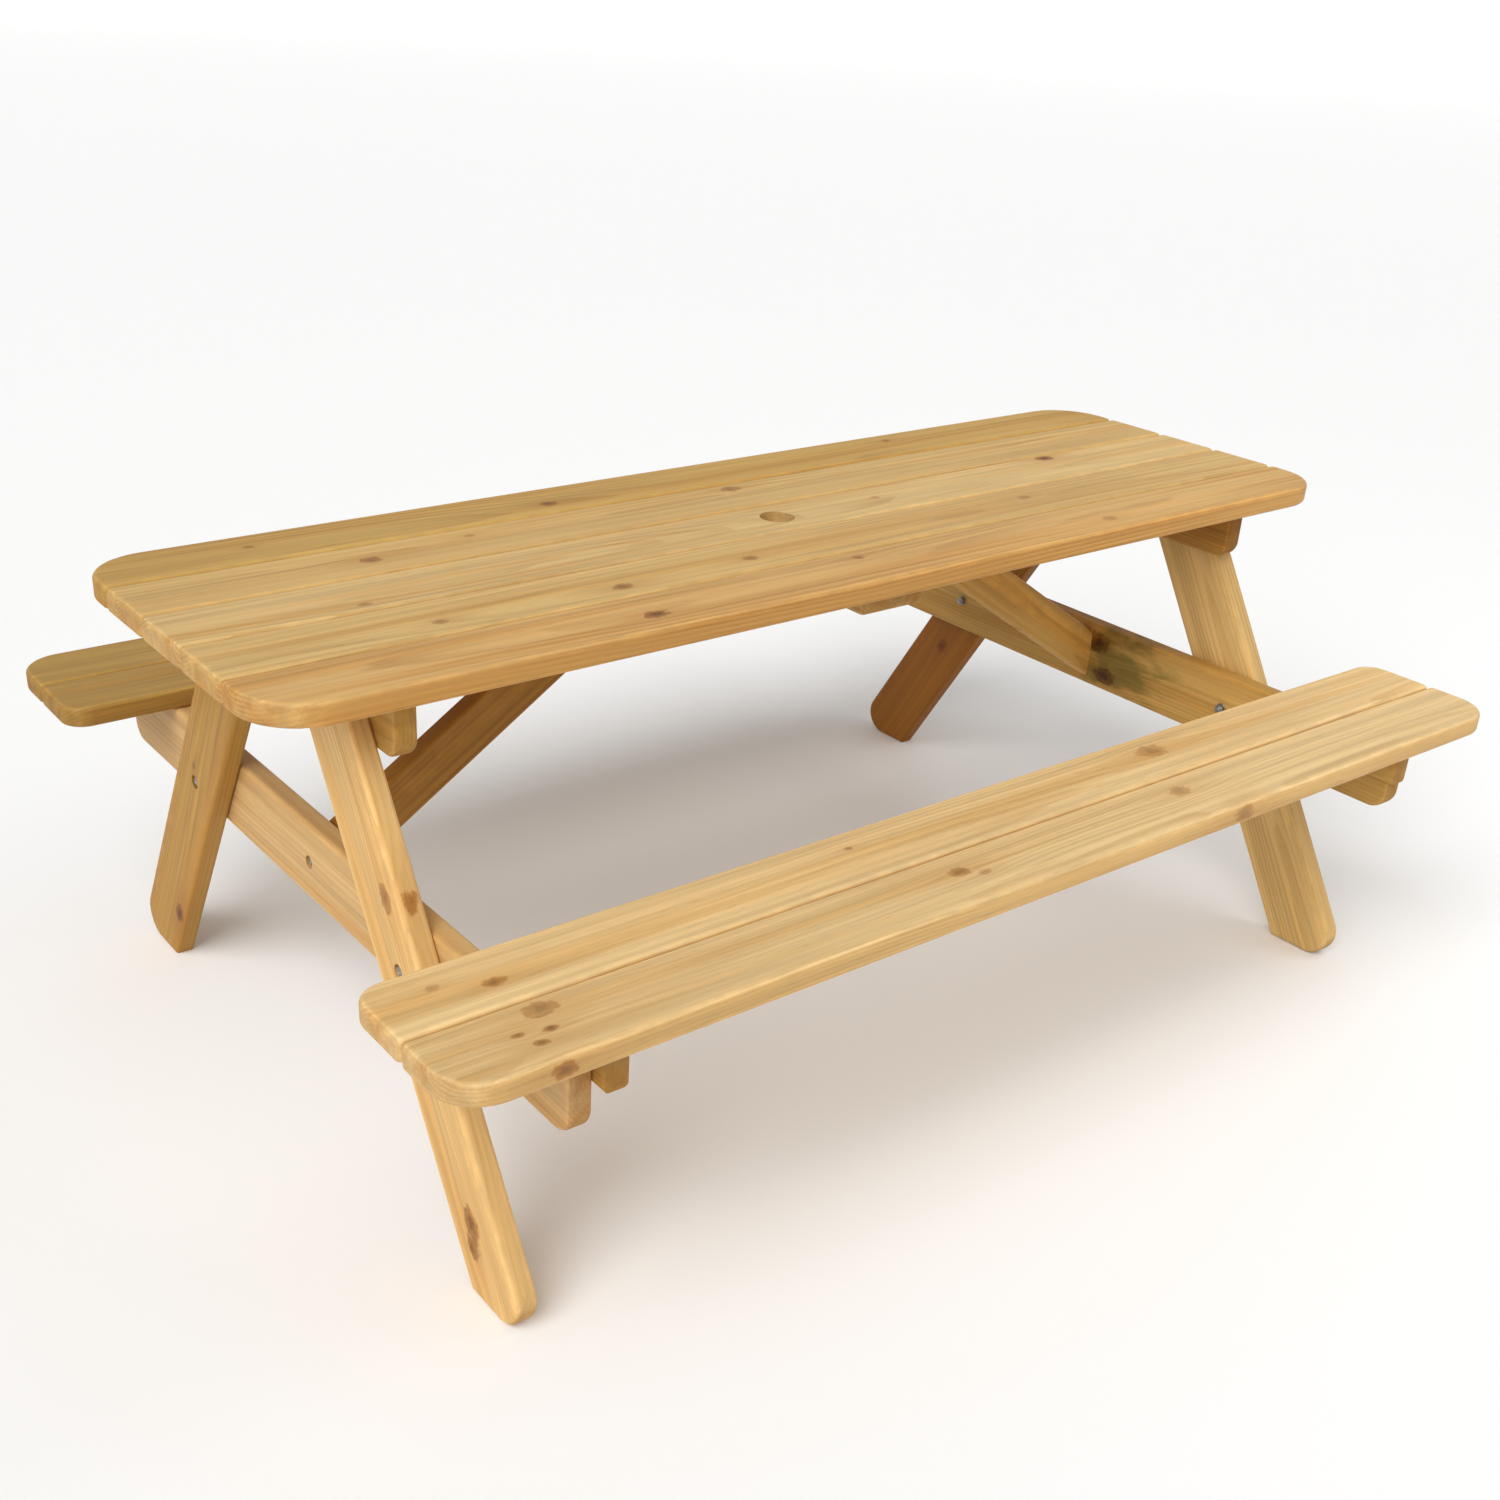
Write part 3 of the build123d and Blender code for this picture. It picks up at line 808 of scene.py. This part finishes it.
def hexagon(across_flats):
    """A radius that follows a hexagon."""
    sixth = math.pi / 3
    return lambda angle, height: across_flats / 2 / math.cos((angle + sixth / 2) % sixth - sixth / 2)


def six_lobes(radius):
    """A radius that follows a six-lobed recess."""
    return lambda angle, height: radius * (1 - LOBE + LOBE * math.cos(6 * angle))


def thread(radius, pitch, depth):
    """A radius that follows a screw thread."""

    def radius_at(angle, height):
        turn = (height / pitch - angle / (2 * math.pi)) % 1
        return radius - depth * abs(2 * turn - 1)

    return radius_at


def thread_rings(start, length, radius, pitch, depth):
    """Rings for a thread, from start upwards."""
    outline = thread(radius, pitch, depth)
    steps = round(length / pitch * THREAD_STEPS)
    return [(outline, start + step * pitch / THREAD_STEPS) for step in range(steps)]


def join_rows(shape, lower, upper):
    """Faces between two rings of corners."""
    for step in range(TURNS):
        after = (step + 1) % TURNS
        shape.faces.new((lower[step], lower[after], upper[after], upper[step]))


def add_rings(shape, place, rings):
    """Skins a round surface over rings of (radius, height). A radius is a number or a rule."""
    rows = []
    for radius, height in rings:
        row = []
        for step in range(TURNS):
            angle = 2 * math.pi * step / TURNS
            out = radius(angle, height) if callable(radius) else radius
            point = Vector((out * math.cos(angle), out * math.sin(angle), height))
            row.append(shape.verts.new(place @ point))
        rows.append(row)
    for lower, upper in zip(rows, rows[1:]):
        join_rows(shape, lower, upper)
    return rows


def add_solid(shape, place, rings):
    """A round solid, closed by a flat face at each end."""
    rows = add_rings(shape, place, rings)
    shape.faces.new(rows[0][::-1])
    shape.faces.new(rows[-1])


def add_hollow(shape, place, rings):
    """A round solid with a hole through it: its last ring joins its first."""
    rows = add_rings(shape, place, rings)
    join_rows(shape, rows[-1], rows[0])


def chamfered_hexagon(across_flats, low, high):
    """Rings of a hexagon whose corners are turned down at its upper end."""
    outline = hexagon(across_flats)
    corner_radius = across_flats / 2 / math.cos(math.pi / 6)
    face_radius = across_flats / 2 * HEXAGON_FACE
    chamfer = (corner_radius - face_radius) * math.tan(HEXAGON_CHAMFER)
    return [(outline, low), (outline, high - chamfer), (face_radius, high)]


def make_fixings(node, material, add_one):
    """One piece for all the fixings of a CAD node."""
    shape = bmesh.new()
    for points in solids(node):
        add_one(shape, points)
    mesh = bpy.data.meshes.new(f"{node}_detail")
    bmesh.ops.recalc_face_normals(shape, faces=shape.faces)
    shape.to_mesh(mesh)
    shape.free()
    mesh.materials.append(material)
    mesh.shade_smooth()
    mesh.set_sharp_from_angle(angle=SHARP_EDGE)
    piece = bpy.data.objects.new(f"{node}_detail", mesh)
    bpy.context.scene.collection.objects.link(piece)
    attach(piece, "root")
    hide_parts(node)


def hexagon_headed(length, radius, flats, head, threaded, pitch):
    """Rings from the tip to the top of the head, which has a shallow dish. The top is at height 0."""
    point = -length + POINT_LENGTH
    rings = [(radius * POINT_TIP, -length), (radius * POINT_SHOULDER, point)]
    rings += thread_rings(point + RUN_IN, threaded, radius, pitch, pitch * THREAD_DEPTH)
    rings += [(radius, point + threaded + RUN_OUT), (radius, -head)]
    rings += chamfered_hexagon(flats, -head, 0)
    rings += [(flats * DISH_RIM, 0), (flats * DISH_FLOOR, -DISH_DEPTH)]
    return rings


def add_bolt(shape, points):
    place, length = fixing_place(points)
    add_solid(shape, place, hexagon_headed(length, **BOLT))


def add_coach_screw(shape, points):
    place, length = fixing_place(points)
    add_solid(shape, place, hexagon_headed(length, **COACH_SCREW))


def add_nut(shape, points):
    place, thickness = ring_place(points)
    bore = BOLT["radius"]
    outline = hexagon(BOLT["flats"])
    high = thickness / 2
    low = high - NUT_CHAMFER
    rings = [(bore, -high), (NUT_FACE, -high), (outline, -low)]
    rings += [(outline, low), (NUT_FACE, high), (bore, high)]
    add_hollow(shape, place, rings)


def add_washer(shape, points):
    place, thickness = ring_place(points)
    high = thickness / 2
    low = high - WASHER_EDGE
    face = WASHER_RADIUS - WASHER_EDGE
    rings = [(WASHER_BORE, -high), (face, -high), (WASHER_RADIUS, -low)]
    rings += [(WASHER_RADIUS, low), (face, high), (WASHER_BORE, high)]
    add_hollow(shape, place, rings)


def add_wood_screw(shape, points):
    """A pan-headed screw with a six-lobed recess. The top of its head is at height 0."""
    place, length = fixing_place(points)
    point = -length + SCREW_TIP_LENGTH
    rings = [(SCREW_TIP, -length), (SCREW_CORE, point)]
    rings += thread_rings(point + RUN_IN, SCREW_THREADED, SCREW_RADIUS, SCREW_PITCH, SCREW_THREAD_DEPTH)
    rings += [(SCREW_SHANK, point + SCREW_THREADED + SCREW_RUN_OUT), (SCREW_SHANK, -SCREW_HEAD_HEIGHT)]
    for out, down in SCREW_HEAD_ROUND:
        rings.append((SCREW_HEAD_RADIUS * out, -SCREW_HEAD_HEIGHT * down))
    rings += [(six_lobes(RECESS_RADIUS), 0), (six_lobes(RECESS_FLOOR_RADIUS), -RECESS_DEPTH)]
    add_solid(shape, place, rings)


make_fixings("leg_bolts", bolt_zinc, add_bolt)
make_fixings("leg_bolt_washers", bolt_zinc, add_washer)
make_fixings("leg_bolt_nuts", bolt_zinc, add_nut)
make_fixings("brace_screws", bolt_zinc, add_coach_screw)
for node in WOOD_SCREWS:
    make_fixings(node, screw_zinc, add_wood_screw)


# ---------------------------------------------------------------- stage


def make_floor():
    """A pale floor that sweeps up to a wall, far from the table."""
    shape = bmesh.new()
    rings = [(FLOOR_RADIUS / 2, 0), (FLOOR_RADIUS, 0)]
    for step in range(1, SWEEP_STEPS + 1):
        angle = math.pi / 2 * step / SWEEP_STEPS
        out = FLOOR_RADIUS + SWEEP_RADIUS * math.sin(angle)
        up = SWEEP_RADIUS * (1 - math.cos(angle))
        rings.append((out, up))
    rows = add_rings(shape, Matrix.Identity(4), rings)
    bmesh.ops.reverse_faces(shape, faces=shape.faces)
    shape.faces.new(rows[0])
    mesh = bpy.data.meshes.new("floor")
    shape.to_mesh(mesh)
    shape.free()
    mesh.shade_smooth()
    floor = bpy.data.objects.new("floor", mesh)
    bpy.context.scene.collection.objects.link(floor)
    material = bpy.data.materials.new("pale_floor")
    material.use_nodes = True
    shader = material.node_tree.nodes["Principled BSDF"]
    shader.inputs["Base Color"].default_value = (*FLOOR_COLOUR, 1)
    shader.inputs["Roughness"].default_value = FLOOR_ROUGHNESS
    shader.inputs["Specular IOR Level"].default_value = FLOOR_GLOSS
    mesh.materials.append(material)


def make_key_light():
    """A sun from the left, with a wide disc."""
    light = bpy.data.lights.new("key", "SUN")
    light.energy = KEY_STRENGTH
    light.angle = KEY_SPREAD
    lamp = bpy.data.objects.new("key", light)
    level = math.cos(KEY_HEIGHT)
    left = level * math.cos(KEY_HEADING)
    front = level * math.sin(KEY_HEADING)
    source = Vector((-left, -front, math.sin(KEY_HEIGHT)))
    lamp.rotation_euler = source.to_track_quat("Z", "Y").to_euler()
    bpy.context.scene.collection.objects.link(lamp)


def make_side_light():
    """A little more light for the right end of the front seat."""
    light = bpy.data.lights.new("side", "AREA")
    light.energy = SIDE_POWER
    light.size = SIDE_SIZE
    lamp = bpy.data.objects.new("side", light)
    lamp.location = SIDE_PLACE
    lamp.rotation_euler = (Vector(SIDE_PLACE) - Vector(SIDE_TARGET)).to_track_quat("Z", "Y").to_euler()
    bpy.context.scene.collection.objects.link(lamp)


def make_world():
    """An even white light from all round."""
    world = bpy.data.worlds.new("studio")
    world.use_nodes = True
    background = world.node_tree.nodes["Background"]
    background.inputs["Color"].default_value = (1, 1, 1, 1)
    background.inputs["Strength"].default_value = WORLD_STRENGTH
    bpy.context.scene.world = world


def make_camera():
    lens = bpy.data.cameras.new("camera")
    lens.sensor_width = CAMERA_SENSOR
    lens.lens = CAMERA_LENS
    lens.shift_x, lens.shift_y = CAMERA_SHIFT
    camera = bpy.data.objects.new("camera", lens)
    turn = Euler((math.pi / 2 - CAMERA_DIP, 0, -(math.pi / 2 - CAMERA_HEADING))).to_matrix()
    roll = Matrix.Rotation(CAMERA_ROLL, 3, "Z")
    camera.matrix_world = Matrix.Translation(CAMERA_PLACE) @ (turn @ roll).to_4x4()
    bpy.context.scene.collection.objects.link(camera)
    bpy.context.scene.camera = camera


make_floor()
make_key_light()
make_side_light()
make_world()
make_camera()
bpy.context.scene.view_settings.view_transform = "Standard"
